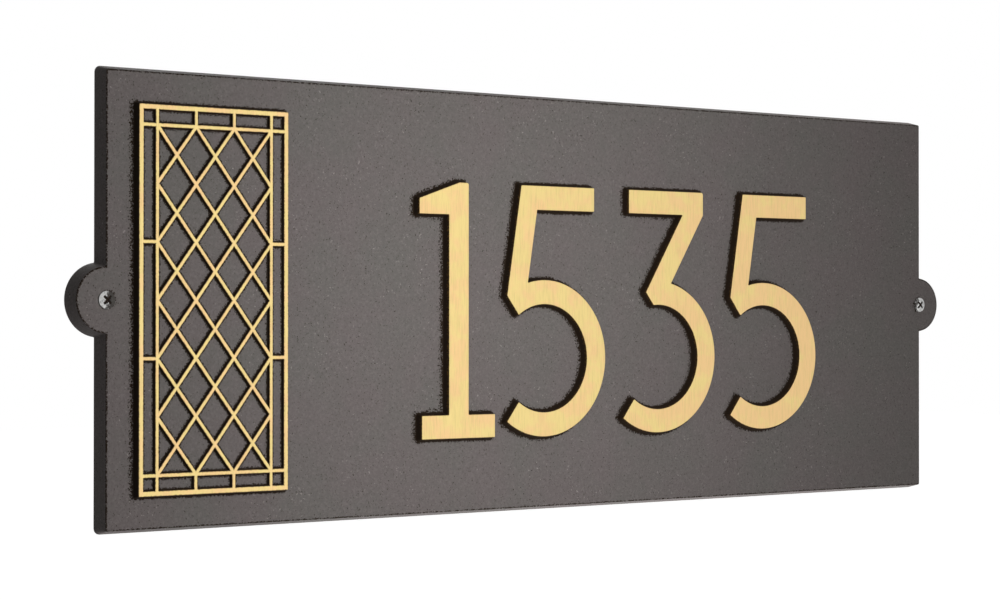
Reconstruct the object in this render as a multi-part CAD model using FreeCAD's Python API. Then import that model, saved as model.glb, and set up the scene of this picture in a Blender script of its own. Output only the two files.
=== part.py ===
import FreeCAD, Part
import math
import os
from collections import namedtuple
from FreeCAD import Vector

# House number plaque: one cast metal plate with the number and a leaded-light panel standing
# proud of its face, held to the wall by two round-headed wood screws through its side ears.
# Millimetres.  X runs to the right along the plaque, Z is up and the front faces -Y.
# The origin is the centre of the flat back, which lies against the wall in the plane Y = 0.

# Plate: widths, heights and radii are those of its back, and its walls lean in towards the front
plate_width = 469.9
plate_height = 188.4
plate_thickness = 7.5
plate_corner_radius = 2.6
plate_draft_run = 1.85
front_edge_bevel = 0.4
ear_radius = 15.15
screw_spacing = 466.0

# Wall screws
shank_diameter = 3.5
shank_length = 8.0
shank_clearance = 0.35
thread_diameter = 3.1
screw_length = 32.0
screw_point_length = 5.0
head_diameter = 7.3
head_height = 2.4
head_rim_height = 0.9
recess_span = 3.8
recess_depth = 1.5
recess_slot_width = 1.0
recess_floor_share = 0.45
recess_turn = 45.0

# Number: heights and widths are those of the flat faces of the numerals
numeral_relief = 3.2
numeral_draft_run = 1.0
numeral_bevel = 0.25
numeral_corner_radius = 1.0
numeral_hollow_radius = 0.4
cap_height = 112.6
baseline_height = 34.2
number_gap = 67.0
stroke_width = 10.8
stem_width = 10.6

# Numeral one
one_foot_width = 39.6
one_foot_height = 10.2
one_flag_reach = 15.9
one_flag_drop = 14.1
one_flag_end_height = 6.7
one_flag_slope = 19.0

# Round bowl shared by the fives and the three
bowl_radius = 35.3
bowl_overshoot = 0.5
bowl_end_angle = 127.0

# Numeral five
five_lean = 9.15
five_flag_end = 28.7

# Numeral three
three_lean = 31.7
three_flag_start = 17.9
three_flag_end = 27.9
three_beak_rise = 5.8
three_beak_angle = 96.6

# Clear distances between neighbouring numerals
one_to_five = 6.9
five_to_three = 11.0
three_to_five = 10.3

# Leaded-light panel: a frame, a border of bars and a trellis of diamonds
panel_width = 70.2
panel_height = 158.0
panel_margin = 14.95
panel_relief = 3.0
panel_draft_run = 0.7
pocket_depth = 1.3
panel_frame_width = 2.0
lead_width = 1.5
border_width = 7.0
trellis_columns = 3
trellis_rows = 6
cell_corner_radius = 0.7

# How far raised shapes run into the plate, and cutting shapes past what they cut
overrun = 0.6

# Points nearer to each other than this count as the same
closeness = 1e-6

left_edge = -plate_width / 2
bottom_edge = -plate_height / 2
face_y = -plate_thickness
towards_viewer = Vector(0, -1, 0)

# A round corner or bowl of an outline, with its angles in degrees counter-clockwise from +X
Round = namedtuple("Round", "centre radius start end")


def at(point, y):
    """The point (x, z) of the front view, at depth y."""
    return Vector(point[0], y, point[1])


def polar(centre, radius, degrees):
    """The point at a radius and an angle from a centre."""
    angle = math.radians(degrees)
    return (centre[0] + radius * math.cos(angle), centre[1] + radius * math.sin(angle))


def along(start, direction, distance):
    """The point at a distance from the start in a direction."""
    length = math.hypot(*direction)
    return (start[0] + direction[0] / length * distance, start[1] + direction[1] / length * distance)


def ends(item):
    """First and last point of an item of an outline, which is a point or a Round."""
    if isinstance(item, Round):
        return polar(item.centre, item.radius, item.start), polar(item.centre, item.radius, item.end)
    return item, item


def polygon_outline(points, radii, growth):
    """A counter-clockwise polygon with its corners rounded, and its sides moved out by the growth."""
    outline = []
    for i, point in enumerate(points):
        before = points[i - 1]
        after = points[(i + 1) % len(points)]
        arriving = math.degrees(math.atan2(point[1] - before[1], point[0] - before[0])) - 90.0
        leaving = math.degrees(math.atan2(after[1] - point[1], after[0] - point[0])) - 90.0
        turn = (leaving - arriving + 180.0) % 360.0 - 180.0
        stretch = 1.0 / math.cos(math.radians(turn / 2))
        bisector = arriving + turn / 2
        if radii[i] == 0:
            outline.append(polar(point, growth * stretch, bisector))
        elif turn > 0:
            centre = polar(point, -radii[i] * stretch, bisector)
            outline.append(Round(centre, radii[i] + growth, arriving, arriving + turn))
        else:
            centre = polar(point, radii[i] * stretch, bisector)
            outline.append(Round(centre, radii[i] - growth, arriving + 180.0, arriving + 180.0 + turn))
    return outline


def circle(centre, radius):
    """Outline of a circle, as two halves."""
    return [Round(centre, radius, 0.0, 180.0), Round(centre, radius, 180.0, 360.0)]


def flattened(outline):
    """An outline with two flats in place of each small round, which keeps its facets few."""
    points = []
    for item in outline:
        for degrees in (item.start, (item.start + item.end) / 2, item.end):
            points.append(polar(item.centre, item.radius, degrees))
    return points


def gap_after(outline, i):
    """The two ends of the straight side that follows an item, or None where the next item joins it."""
    start = ends(outline[i])[1]
    end = ends(outline[(i + 1) % len(outline)])[0]
    return (start, end) if math.dist(start, end) > closeness else None


def flat_face(outline, y):
    """Flat face bounded by an outline at depth y."""
    edges = []
    for i, item in enumerate(outline):
        if isinstance(item, Round):
            start, end = ends(item)
            middle = polar(item.centre, item.radius, (item.start + item.end) / 2)
            edges.append(Part.Arc(at(start, y), at(middle, y), at(end, y)).toShape())
        side = gap_after(outline, i)
        if side:
            edges.append(Part.makeLine(at(side[0], y), at(side[1], y)))
    return Part.Face(Part.Wire(edges))


def drafted_solid(outline_at, stages):
    """Solid with sloping walls through an outline at each stage (growth, y), from back to front."""
    rings = [(outline_at(growth), y) for growth, y in stages]
    faces = [flat_face(*rings[-1]), flat_face(*rings[0])]
    for (low, low_y), (high, high_y) in zip(rings, rings[1:]):
        for i, item in enumerate(low):
            if isinstance(item, Round):
                line = Part.makeLine(at(ends(item)[0], low_y), at(ends(high[i])[0], high_y))
                faces.append(line.revolve(at(item.centre, 0), towards_viewer, item.end - item.start))
            side = gap_after(low, i)
            if side:
                above = gap_after(high, i)
                corners = [at(side[0], low_y), at(side[1], low_y)]
                corners += [at(above[1], high_y), at(above[0], high_y)]
                faces.append(Part.Face(Part.makePolygon(corners + corners[:1])))
    return Part.Solid(Part.Shell(faces)).removeSplitter()


def drafted_polygon(points, radii, stages):
    """Drafted solid on a counter-clockwise polygon with a radius for each corner."""
    return drafted_solid(lambda growth: polygon_outline(points, radii, growth), stages)


def rectangle(left, right, low, high):
    """Corners of a rectangle, counter-clockwise."""
    return [(left, low), (right, low), (right, high), (left, high)]


def plate():
    """The drafted plate and its round ears, bevelled at the front, with a screw hole in each ear."""
    slope = plate_draft_run / plate_thickness
    bevel_start = plate_thickness - front_edge_bevel
    stages = [(0.0, 0.0), (-slope * bevel_start, -bevel_start),
              (-plate_draft_run - front_edge_bevel, face_y)]
    corners = rectangle(left_edge, -left_edge, bottom_edge, -bottom_edge)
    body = drafted_polygon(corners, [plate_corner_radius] * 4, stages)
    centres = [(side * screw_spacing / 2, 0.0) for side in (-1, 1)]
    body = body.fuse([drafted_solid(lambda growth: circle(centre, ear_radius + growth), stages)
                      for centre in centres])
    hole_radius = shank_diameter / 2 + shank_clearance
    hole_length = plate_thickness + 2 * overrun
    return body.cut([Part.makeCylinder(hole_radius, hole_length, at(centre, overrun), towards_viewer)
                     for centre in centres])


def numeral_stages(reach=0.0):
    """Stages of a numeral's wall: the draft from below the plate's face, then the narrow bevel."""
    slope = (numeral_draft_run - numeral_bevel) / (numeral_relief - numeral_bevel)
    top_y = face_y - numeral_relief
    root = (numeral_draft_run + slope * overrun, face_y + overrun)
    return [root, (numeral_bevel, top_y + numeral_bevel), (-reach, top_y - reach)]


def bar(points):
    """A straight part of a numeral, on a sharp-cornered polygon."""
    return drafted_polygon(points, [0.0] * len(points), numeral_stages())


def bowl(centre, start_angle):
    """The round stroke of a five or a three, from a start angle clockwise to its cut end."""
    stages = numeral_stages()
    outer = [Vector(centre[0] + bowl_radius + growth, y, centre[1]) for growth, y in stages]
    inner_radius = bowl_radius - stroke_width
    inner = [Vector(centre[0] + inner_radius - growth, y, centre[1]) for growth, y in stages]
    section = Part.Face(Part.makePolygon(outer + inner[::-1] + outer[:1]))
    section.rotate(at(centre, 0), towards_viewer, start_angle)
    past_end = math.degrees(2 * numeral_draft_run / inner_radius)
    ring = section.revolve(at(centre, 0), towards_viewer, -bowl_end_angle - past_end - start_angle)
    return ring.cut(end_cut(centre))


def end_cut(centre):
    """Cutting shape that leaves the lower end of a bowl square to its stroke, with draft."""
    stages = numeral_stages(overrun)
    radial = polar((0, 0), 1.0, -bowl_end_angle)
    beyond = (radial[1], -radial[0])
    far = stages[0][0] + 4 * numeral_draft_run
    start = along(centre, radial, bowl_radius - 2 * stroke_width)
    profile = [(growth, y) for growth, y in stages] + [(far, stages[-1][1]), (far, stages[0][1])]
    points = [at(along(start, beyond, distance), y) for distance, y in profile]
    return Part.Face(Part.makePolygon(points + points[:1])).extrude(at(radial, 0) * 3 * stroke_width)


def bowl_hole(centre):
    """Cutting shape of the round space inside a bowl."""
    radius = bowl_radius - stroke_width
    stages = numeral_stages(overrun)
    profile = [Vector(centre[0] + radius - growth, y, centre[1]) for growth, y in stages]
    profile += [at(centre, stages[-1][1]), at(centre, stages[0][1])]
    return Part.Face(Part.makePolygon(profile + profile[:1])).revolve(at(centre, 0), towards_viewer, 360)


def numeral_one(left, base):
    """The one, from the left end of its flag and its base line."""
    top = base + cap_height
    foot_top = base + one_foot_height
    stem_left = left + one_flag_reach
    stem_right = stem_left + stem_width
    foot_left = (stem_left + stem_right - one_foot_width) / 2
    foot_right = foot_left + one_foot_width
    flag_low = top - one_flag_drop
    flag_high = flag_low + one_flag_end_height
    crest = left + (top - flag_high) / math.tan(math.radians(one_flag_slope))
    sharp = 0.0
    hollow = numeral_hollow_radius + numeral_stages()[0][0]
    corners = [(foot_left, base, sharp), (foot_right, base, sharp), (foot_right, foot_top, sharp),
               (stem_right, foot_top, hollow), (stem_right, top, numeral_corner_radius),
               (crest, top, sharp), (left, flag_high, sharp), (left, flag_low, sharp),
               (stem_left, flag_low, sharp), (stem_left, foot_top, hollow), (foot_left, foot_top, sharp)]
    points = [corner[:2] for corner in corners]
    return drafted_polygon(points, [corner[2] for corner in corners], numeral_stages())


def numeral_five(centre, top):
    """A five, from the centre of its bowl and the height of its top."""
    slope = math.tan(math.radians(five_lean))
    inner_radius = bowl_radius - stroke_width
    shoulder = polar(centre, bowl_radius, bowl_end_angle)
    tip = polar(centre, inner_radius - stroke_width / 2, bowl_end_angle)
    flag_low = top - stroke_width
    flag_middle = top - stroke_width / 2

    def left_line(z):
        return (shoulder[0] + slope * (z - shoulder[1]), z)

    def right_line(z):
        return (left_line(z)[0] + stem_width, z)

    stem = bar([left_line(flag_middle), shoulder, tip, right_line(tip[1]), right_line(flag_middle)])
    flag_end = centre[0] + five_flag_end
    flag = bar([left_line(flag_low), (flag_end, flag_low), (flag_end, top), left_line(top)])
    stem_middle = shoulder[0] + stem_width / 2
    inside_stem = math.degrees(math.atan2(shoulder[1] - centre[1], stem_middle - centre[0]))
    return flag.fuse([stem.cut(bowl_hole(centre)), bowl(centre, inside_stem)]).removeSplitter()


def numeral_three(centre, top):
    """A three with a flat top, from the centre of its bowl and the height of its top."""
    slope = math.tan(math.radians(three_lean))
    across = stroke_width / math.cos(math.radians(three_lean))
    inner_radius = bowl_radius - stroke_width
    flag_low = top - stroke_width
    flag_middle = top - stroke_width / 2
    flag_left = centre[0] - three_flag_start
    flag_right = centre[0] + three_flag_end

    def right_line(z):
        return (flag_right + slope * (z - flag_low), z)

    def left_line(z):
        return (right_line(z)[0] - across, z)

    beak = left_line(centre[1] + inner_radius + three_beak_rise)
    hook = polar(centre, inner_radius, three_beak_angle)
    tip = along(hook, (hook[0] - beak[0], hook[1] - beak[1]), stroke_width / 2)
    diagonal = bar([left_line(flag_middle), beak, tip, right_line(tip[1]), right_line(flag_low),
                    (flag_right, flag_middle)])
    corners = [(flag_left, flag_low), (flag_right, flag_low), (flag_right, top), (flag_left, top)]
    flag = drafted_polygon(corners, [0.0, 0.0, numeral_corner_radius, 0.0], numeral_stages())
    return flag.fuse([diagonal.cut(bowl_hole(centre)), bowl(centre, 90.0)]).removeSplitter()


def number():
    """The numerals 1535, set out from left to right on one base line."""
    base = bottom_edge + baseline_height
    top = base + cap_height
    bowl_z = base - bowl_overshoot + bowl_radius
    bowl_back = bowl_radius * math.cos(math.radians(180.0 - bowl_end_angle))
    one_left = left_edge + panel_margin + panel_width + number_gap
    one_right = one_left + one_flag_reach + stem_width / 2 + one_foot_width / 2
    first_five = one_right + one_to_five + bowl_back
    three = first_five + bowl_radius + five_to_three + bowl_back
    second_five = three + bowl_radius + three_to_five + bowl_back
    return [numeral_one(one_left, base), numeral_five((first_five, bowl_z), top),
            numeral_three((three, bowl_z), top), numeral_five((second_five, bowl_z), top)]


def border_cells(left, right, low, high):
    """The cells of the border: a square in each corner, and between them strips cut into lengths."""
    inner_left = left + border_width
    inner_right = right - border_width
    inner_low = low + border_width
    inner_high = high - border_width
    cells = []
    for x in (left, inner_right):
        for z in (low, inner_high):
            cells.append(rectangle(x, x + border_width, z, z + border_width))
    column = (inner_right - inner_left) / trellis_columns
    for i in range(trellis_columns):
        start = inner_left + i * column
        for z in (low, inner_high):
            cells.append(rectangle(start, start + column, z, z + border_width))
    lengths = max(1, trellis_rows // 2)
    length = (inner_high - inner_low) / lengths
    for i in range(lengths):
        start = inner_low + i * length
        for x in (left, inner_right):
            cells.append(rectangle(x, x + border_width, start, start + length))
    return cells


def trellis_cells(left, right, low, high):
    """The cells of the trellis: whole diamonds, and half diamonds along its four sides."""
    half_column = (right - left) / trellis_columns / 2
    half_row = (high - low) / trellis_rows / 2
    middle_x = (left + right) / 2
    middle_z = (low + high) / 2
    half_width = (right - left) / 2 + closeness
    half_height = (high - low) / 2 + closeness
    cells = []
    for i in range(2 * trellis_columns + 1):
        for j in range(2 * trellis_rows + 1):
            if (i + j) % 2 == 0:
                continue
            x = left + i * half_column
            z = low + j * half_row
            corners = [(x - half_column, z), (x, z - half_row), (x + half_column, z), (x, z + half_row)]
            cells.append([(a, b) for a, b in corners
                          if abs(a - middle_x) < half_width and abs(b - middle_z) < half_height])
    return cells


def pocket(cell):
    """Cutting shape of one cell, which narrows with the draft towards its floor."""
    slope = panel_draft_run / panel_relief
    clear = polygon_outline(cell, [0.0] * len(cell), -lead_width / 2)
    lead_y = face_y - panel_relief
    floor_growth = -slope * pocket_depth
    stages = [(floor_growth, lead_y + pocket_depth), (slope * overrun, lead_y - overrun)]
    radii = [cell_corner_radius - floor_growth] * len(clear)
    return drafted_solid(lambda growth: flattened(polygon_outline(clear, radii, growth)), stages)


def panel():
    """The panel: a drafted block with the cells of the border and the trellis sunk in it."""
    left = left_edge + panel_margin
    right = left + panel_width
    low = -panel_height / 2
    high = panel_height / 2
    slope = panel_draft_run / panel_relief
    stages = [(slope * (panel_relief + overrun), face_y + overrun), (0.0, face_y - panel_relief)]
    block = drafted_polygon(rectangle(left, right, low, high), [0.0] * 4, stages)
    line = panel_frame_width - lead_width / 2
    field = line + border_width
    cells = border_cells(left + line, right - line, low + line, high - line)
    cells += trellis_cells(left + field, right - field, low + field, high - field)
    return block.cut([pocket(cell) for cell in cells])


def plaque_casting():
    """Plate, number and panel as the one solid that they are cast as."""
    return plate().fuse(number() + [panel()]).removeSplitter()


def recess():
    """Cutting shape of a cross recess: four slots that taper from the top of the head."""
    stages = [(recess_floor_share, recess_depth - head_height), (1.0, -head_height - overrun)]

    def cross(share):
        reach = recess_span / 2 * share
        half = recess_slot_width / 2 * (1.0 + share) / 2
        arm = [(reach, -half), (reach, half), (half, half)]
        return [polar((0, 0), math.hypot(x, z), math.degrees(math.atan2(z, x)) + 90.0 * quarter)
                for quarter in range(4) for x, z in arm]

    return drafted_solid(cross, stages)


def wall_screw(side):
    """A round-headed screw, seated on the ear, with its shank through the plate into the wall."""
    head = head_diameter / 2
    shank = shank_diameter / 2
    thread = thread_diameter / 2
    dome = head_height - head_rim_height
    dome_radius = (head ** 2 + dome ** 2) / (2 * dome)
    half_angle = math.asin(head / dome_radius) / 2
    middle_drop = dome_radius * (1 - math.cos(half_angle))
    middle = Vector(dome_radius * math.sin(half_angle), -head_height + middle_drop, 0)
    top = Vector(0, -head_height, 0)
    rim = Vector(head, -head_rim_height, 0)
    outline = [rim, Vector(head, 0, 0), Vector(shank, 0, 0), Vector(shank, shank_length, 0),
               Vector(thread, shank_length, 0), Vector(thread, screw_length - screw_point_length, 0),
               Vector(0, screw_length, 0), top]
    edges = [Part.Arc(top, middle, rim).toShape()]
    edges += [Part.makeLine(start, end) for start, end in zip(outline, outline[1:])]
    body = Part.Face(Part.Wire(edges)).revolve(Vector(0, 0, 0), Vector(0, 1, 0), 360)
    body = body.cut(recess())
    body.rotate(Vector(0, 0, 0), Vector(0, 1, 0), recess_turn)
    body.translate(Vector(side * screw_spacing / 2, face_y, 0))
    return body


def main():
    os.makedirs("parts", exist_ok=True)
    plaque_casting().exportStep("parts/plaque_casting.step")
    Part.makeCompound([wall_screw(-1), wall_screw(1)]).exportStep("parts/wall_screws.step")


main()
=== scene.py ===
import math
from collections import namedtuple

import bpy
import numpy as np
from bpy.props import FloatProperty, FloatVectorProperty, IntProperty, PointerProperty
from mathutils import Matrix, Vector
from mathutils.geometry import delaunay_2d_cdt


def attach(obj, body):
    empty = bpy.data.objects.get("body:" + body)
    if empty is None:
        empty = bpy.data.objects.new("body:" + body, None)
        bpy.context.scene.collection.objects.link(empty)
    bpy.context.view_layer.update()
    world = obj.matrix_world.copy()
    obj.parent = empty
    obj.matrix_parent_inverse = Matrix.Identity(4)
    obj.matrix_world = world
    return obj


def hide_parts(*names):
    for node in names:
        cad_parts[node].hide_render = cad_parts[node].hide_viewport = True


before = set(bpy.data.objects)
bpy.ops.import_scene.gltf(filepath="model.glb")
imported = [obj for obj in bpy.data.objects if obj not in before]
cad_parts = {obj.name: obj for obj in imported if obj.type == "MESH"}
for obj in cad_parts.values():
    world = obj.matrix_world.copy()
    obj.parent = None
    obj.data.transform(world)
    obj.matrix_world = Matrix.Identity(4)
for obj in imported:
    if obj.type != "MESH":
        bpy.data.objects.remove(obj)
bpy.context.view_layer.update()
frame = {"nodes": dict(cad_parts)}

bl_info = {
    "name": "House Number Plaque",
    "version": (1, 0, 0),
    "blender": (4, 5, 0),
    "location": "View3D > Sidebar > Plaque",
    "description": "Cast house number plaque with gilded numerals, a leaded panel and wall screws",
    "category": "Object",
}

# Everything is in metres. X runs to the right along the plaque, Z is up, the front faces -Y and
# the back lies in the plane Y = 0. Flat outlines are points (x, z), and heights stand on that plane.

MILLIMETRE = 0.001

# How finely curves are cut: chords round a corner, the angle of a bend's chord, chords of a profile's
# rounding and of a hole, and the least radius that a corner shrinks to.
CORNER_STEPS = 4
BEND_STEP = math.radians(3.0)
PROFILE_STEPS = 5
HOLE_STEPS = 40
LEAST_RADIUS = 0.00008

# The one.
ONE_FOOT_WIDTH = 0.0396
ONE_FOOT_HEIGHT = 0.0102
ONE_FLAG_REACH = 0.0159
ONE_FLAG_DROP = 0.0141
ONE_FLAG_END = 0.0067
ONE_FLAG_SLOPE = math.radians(19.0)

# The fives and the three. Angles round a bowl are in degrees from its right.
BOWL_END = 127.0
BOWL_OVERSHOOT = 0.0005
FIVE_LEAN = math.tan(math.radians(9.15))
FIVE_FLAG_END = 0.0287
THREE_LEAN = math.radians(31.7)
THREE_FLAG_START = 0.0179
THREE_FLAG_END = 0.0279
THREE_BEAK_RISE = 0.0058
THREE_BEAK_ANGLE = 96.6
ROUND_CORNER = 0.001

# The number: the gap after the panel, and the gaps between its numerals.
NUMBER_GAP = 0.067
ONE_TO_FIVE = 0.0069
FIVE_TO_THREE = 0.011
THREE_TO_FIVE = 0.0103

# Relief: the rounding at the root and the rim of a wall, how far down the wall the gold reaches, how
# far the last ring of a face lies inside its rim, and the corners of the panel's cells.
ROOT_RADIUS = 0.0004
EDGE_RADIUS = 0.0003
GILT_DEPTH = 0.0004
INLAY = 0.0005
LEAD_INLAY = 0.0004
CELL_SOFTNESS = 0.00045

# Dark paint and painted shade round the relief: its strength on the walls and, as painted shade, on the
# line along the plate's front edge, how wide it fades over the floor, and how far a painted shadow
# drifts it to the left.
WALL_SHADE_AND_DARK_PAINT = 1.4
EDGE_LINE_SHADE = 0.8
FRINGE = 0.0011
CELL_FRINGE = 0.0012
HOLE_FRINGE = 0.0024
PANEL_SHADOW_DRIFT = 0.0018
NUMBER_SHADOW_DRIFTS = (0.0018, 0.0015, 0.0012, 0.0009)
HOLE_SHADOW_DRIFT = 0.0006

# The plate's edge: how far its rings reach in over the faces, and how far below the front face the
# painted shade line starts, which is below the rounding. How far the gold is worn along the rims of the
# leads.
EDGE_INLAY = 0.0026
EDGE_SHADE_START = 0.0005
LEAD_WEAR = 0.2

# Wall screws: points round them, rings of the dome and rings to a turn of the thread.
SCREW_COLUMNS = 72
DOME_RINGS = 44
TURN_RINGS = 10
# The rounding of the head's rim and of the corner below the head, and how far down the grid of the
# shank starts and where the thread takes over from it.
RIM_ROUNDING = 0.0002
NECK_ROUNDING = 0.0003
NECK_END = 0.003
THREAD_LEAD = 0.0004
# The recess: width of its slope, how far that lies inside the slot's edge, how much shallower it is
# at the tips, and the strength of the painted shade in it.
SLOT_SLOPE = 0.0003
SLOT_SHIFT = 0.3
SLOT_RISE = 0.55
SLOT_SHADE = 1.6
# The thread: how steep its ridge is, and over how many turns it grows.
RIDGE_SLOPE = 2.6
THREAD_GROWTH = 1.5
# Name, side and painted shade of each screw's head, a darker side that stands in for a dark reflection,
# and how much more of that shade lies on the side that faces the number.
WALL_SCREWS = (("wall_screw_left", -1, 0.62), ("wall_screw_right", 1, 0.25))
SHADED_SIDE_LEAN = 0.5

# Patterns of the finishes: features to the metre, layers of detail and strength of the fine layers.
MOTTLE = (28.0, 4.0, 0.6)
PATCHES = (150.0, 3.0, 0.6)
SAND = (900.0, 4.0, 0.7)
GRIT = (1500.0, 2.0, 0.6)
PITS = (750.0, 2.0, 0.6)
SPECKS = (1000.0, 1.0, 0.5)
RAGGED = (1300.0, 3.0, 0.8)
GRAIN = (2400.0, 2.0, 0.5)
HUE = (90.0, 4.0, 0.6)
CLUSTERS = (70.0, 2.0, 0.5)
TURNING = (700.0, 2.0, 0.5)
STAIN = (900.0, 3.0, 0.6)
# Spans: values between which a pattern or a painted value comes to show.
CLUSTERED = (0.42, 0.62)
FRAYED = (0.32, 0.68)
COOLED = (0.3, 0.7)
NEAR_SHADE_AND_DARK_PAINT = (0.0, 0.2)
SHADED_AND_DARK_PAINTED = (0.5, 0.58)
GILDED = (0.35, 0.65)
INSIDE_RIM = (0.7, 1.0)
HOLLOWED = (0.66, 0.78)
PAINTED_LIGHT_WARM_SIDE = (0.02, 0.16)
WARMED = (0.40, 0.62)
# The same after the share that the pattern changes.
WORN = (0.5, 0.42, 0.72)
DULLED = (0.25, 0.6, 0.7)
PITTED = (0.6, 0.69, 0.75)
SPARKLING = (0.5, 0.69, 0.75)
MARKED = (0.5, 0.45, 0.75)
SIDE_SHADED = (0.92, 0.35, 0.7)
STAINED = (0.6, 0.35, 0.65)
# How far one pattern sways another: dark paint and painted shade in the open and more near their
# painted value, gilding, its rim, pits, the painted light tint of the gold towards the right, and the
# painted shade of the screw heads.
SHADE_AND_DARK_PAINT_SWAY = 1.17
NEAR_SHADE_AND_DARK_PAINT_SWAY = 0.25
GILDING_SWAY = 0.4
RIM_SWAY = 0.25
PITS_SWAY = 0.3
PAINTED_LIGHT_WARM_SWAY = 0.1
SHADED_SIDE_SWAY = 1.8
# Lightness of the specks, the brush marks and the stains, as shares of their colours.
SPECK_LIGHTNESS = 1.9
MARK_LIGHTNESS = 0.78
STAIN_LIGHTNESS = 0.55
# Heights of the patterns in millimetres.
SAND_HEIGHT = 0.045
GRIT_HEIGHT = 0.02
PIT_DEPTH = 0.06
PATCH_HEIGHT = 0.05
GRAIN_HEIGHT = 0.006
GOLD_PATCH_HEIGHT = 0.01
TURNING_HEIGHT = 0.003
# Roughness and sheen, and how much rougher the grain, the stains and the dark parts are.
PAINT_ROUGHNESS = 0.66
GOLD_ROUGHNESS = 0.38
GRAIN_ROUGHNESS = 0.1
STEEL_ROUGHNESS = 0.24
STAIN_ROUGHNESS = 0.1
DARK_ROUGHNESS = 0.4
PAINT_SHEEN = 0.08
STEEL_SHEEN = 0.15
# How the brush marks of the gold and the turning marks of the screws are stretched along each axis.
BRUSHED = (1.0, 1.0, 0.06)
TURNED = (1.0, 14.0, 1.0)

# The stage. A lamp that isn't mirrored is one that glossy surfaces don't show.
FLOOR_GLOW = 0.92
FLOOR_Z = -0.35
FLOOR_HALF = 6.0
FLOOR_LINES = 9
WORLD_FILL = 0.18
WHITE = (1.0, 1.0, 1.0)
BLACK = (0.0, 0.0, 0.0)
Lamp = namedtuple("Lamp", "name place target size watts mirrored")
LAMPS = (
    Lamp("key", (0.75, -1.5, 0.1), (0.0, 0.0, 0.0), (0.5, 1.2), 3.0, True),
    Lamp("near", (-0.06, -0.31, 0.02), (-0.06, 0.0, 0.02), (0.2, 0.2), 1.3, False),
    Lamp("low", (0.1, 0.0, -0.33), (0.1, 0.0, -0.09), (0.5, 0.1), 1.3, False),
    Lamp("top", (0.25, 0.08, 0.42), (0.12, 0.0, 0.09), (0.5, 0.1), 1.3, False),
    Lamp("back", (0.3, 1.6, 0.4), (0.0, 0.0, 0.0), (1.2, 1.2), 14.0, True),
)

# The camera: its place, its yaw, pitch and roll in radians, and its lens in millimetres.
CAMERA_PLACE = (-0.68809, -0.87360, -0.00797)
CAMERA_TURN = (0.644838, 0.0082879, 0.00054148)
CAMERA_LENS = 87.18
CAMERA_SENSOR = 36.0
CAMERA_NEAR = 0.01
CAMERA_FAR = 100.0

# A side of an outline is a line, or a bend round a centre with turn 1 to the left and -1 to the right.
Line = namedtuple("Line", "start end")
Bend = namedtuple("Bend", "start end centre radius turn")


def length(name, description, default):
    """A length that the user can change."""
    return FloatProperty(
        name=name, description=description, default=default, min=0.0, precision=5, unit="LENGTH")


def colour(name, description, default):
    """A colour that the user can change."""
    return FloatVectorProperty(
        name=name, description=description, default=default, min=0.0, max=1.0, subtype="COLOR")


class PlateSizes(bpy.types.PropertyGroup):
    """Sizes of the plate"""

    width: length("Width", "Width of the back without its ears", 0.4699)
    height: length("Height", "Height of the back", 0.1884)
    thickness: length("Thickness", "Thickness of the plate", 0.0075)
    draft: length("Draft", "How far the walls lean in from the back to the front", 0.00185)
    corner_radius: length("Corner radius", "Rounding of the four corners at the back", 0.0026)
    edge_radius: length("Edge radius", "Rounding of the front edge", 0.0004)
    back_radius: length("Back edge radius", "Rounding of the edge that lies on the wall", 0.0003)
    ear_radius: length("Ear radius", "Radius of the round ears at the back", 0.01515)
    ear_hollow: length("Ear hollow", "Rounding where an ear meets the plate", 0.0005)
    hole_radius: length("Hole radius", "Radius of the screw holes", 0.0021)
    hole_spacing: length("Hole spacing", "Distance between the screw holes", 0.466)


class NumeralSizes(bpy.types.PropertyGroup):
    """Sizes of the numerals, over their flat faces"""

    relief: length("Relief", "Height of the faces above the plate", 0.0032)
    draft: length("Draft", "How far the walls lean out from the face to the root", 0.001)
    softness: length("Softness", "Rounding of the corners", 0.0004)
    height: length("Height", "Height of the numerals", 0.1126)
    baseline: length("Base line", "Height of the base line above the foot of the plate", 0.0342)
    stroke: length("Stroke", "Width of the bowls and the flags", 0.0108)
    stem: length("Stem", "Width of the upright strokes", 0.0106)
    bowl: length("Bowl radius", "Outer radius of the round bowls", 0.0353)


class PanelSizes(bpy.types.PropertyGroup):
    """Sizes of the leaded-light panel"""

    width: length("Width", "Width of the panel", 0.0702)
    height: length("Height", "Height of the panel", 0.158)
    margin: length("Margin", "Distance from the left side of the plate", 0.01495)
    relief: length("Relief", "Height of the leads above the plate", 0.003)
    draft: length("Draft", "How far the outer walls lean out", 0.0007)
    depth: length("Depth", "Depth of the cells between the leads", 0.0013)
    frame: length("Frame", "Width of the outer frame", 0.002)
    lead: length("Lead", "Width of the leads", 0.0015)
    border: length("Border", "Distance between the frame and the trellis", 0.007)
    columns: IntProperty(name="Columns", description="Diamonds across the trellis", default=3, min=1)
    rows: IntProperty(name="Rows", description="Diamonds up the trellis", default=6, min=2)


class ScrewSizes(bpy.types.PropertyGroup):
    """Sizes of the wall screws"""

    head_radius: length("Head radius", "Radius of the head", 0.00365)
    head_height: length("Head height", "Height of the head", 0.0013)
    rim: length("Rim", "Height of the upright rim below the dome", 0.0005)
    recess_span: length("Recess span", "Tip to tip size of the cross recess", 0.0045)
    recess_slot: length("Recess slot", "Width of the slots of the recess", 0.0011)
    recess_depth: length("Recess depth", "Depth of the recess", 0.001)
    shank_radius: length("Shank radius", "Radius of the plain shank", 0.00175)
    shank: length("Shank", "Length of the plain shank", 0.008)
    thread_radius: length("Thread radius", "Radius over the thread", 0.00155)
    core_radius: length("Core radius", "Radius between the turns of the thread", 0.00105)
    pitch: length("Pitch", "Distance between the turns of the thread", 0.0014)
    length: length("Length", "Length below the head", 0.032)
    point: length("Point", "Length of the point", 0.005)


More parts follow.
